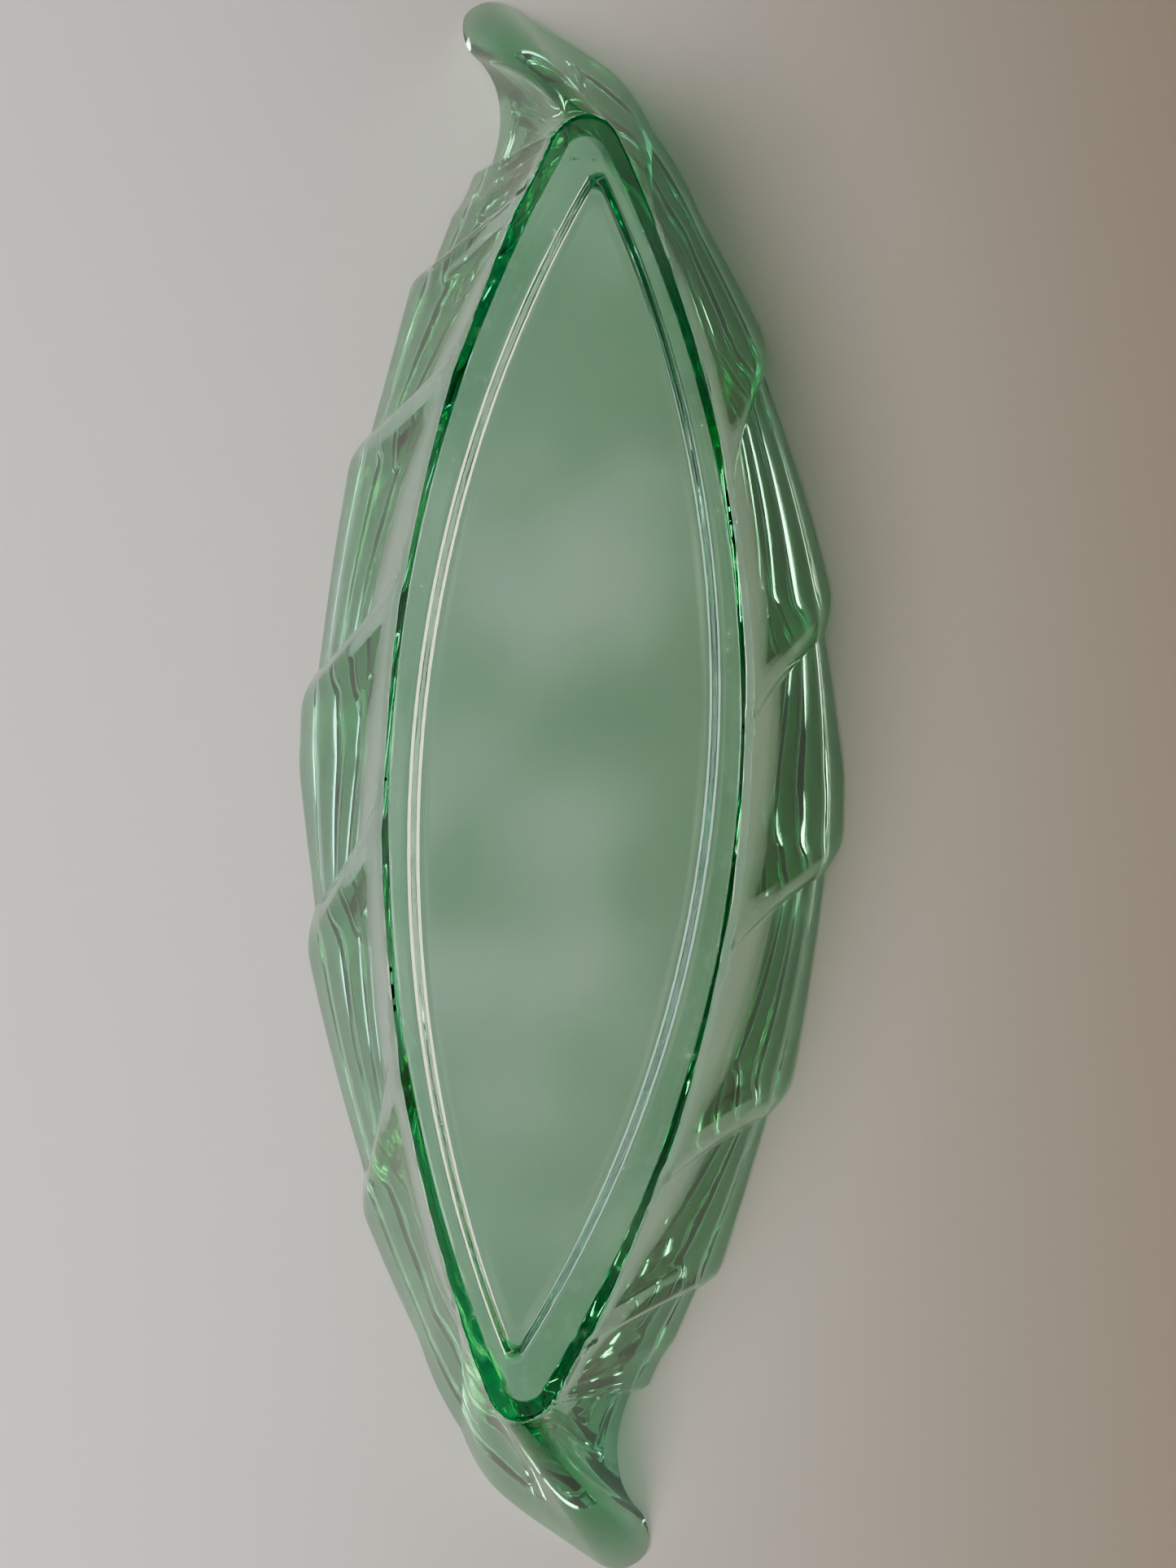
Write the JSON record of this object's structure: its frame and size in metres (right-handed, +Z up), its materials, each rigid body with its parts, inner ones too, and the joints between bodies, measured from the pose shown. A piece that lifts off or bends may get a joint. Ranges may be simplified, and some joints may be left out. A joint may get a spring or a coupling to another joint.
{
  "type": "leaf-shaped glass dish",
  "caption": "Long leaf-shaped pressed-glass dish on a low pointed foot ring, with slanting petals round its flank and a bent solid horn at each end.",
  "frame": {"origin": "centre of the dish on the plane that its foot ring stands on", "axes": "+X along the leaf towards the horn that bends to -Y, +Y across the leaf, +Z up out of the bowl's open mouth; the foot ring is at z = 0 and the rim is at the top"},
  "size_m": [0.254, 0.088, 0.04],
  "materials": {
    "green_glass": "clear pale green uranium glass, fire-polished, with a moulded foot band"
  },
  "bodies": {
    "root": {"dish": "green_glass"}
  },
  "joints": []
}
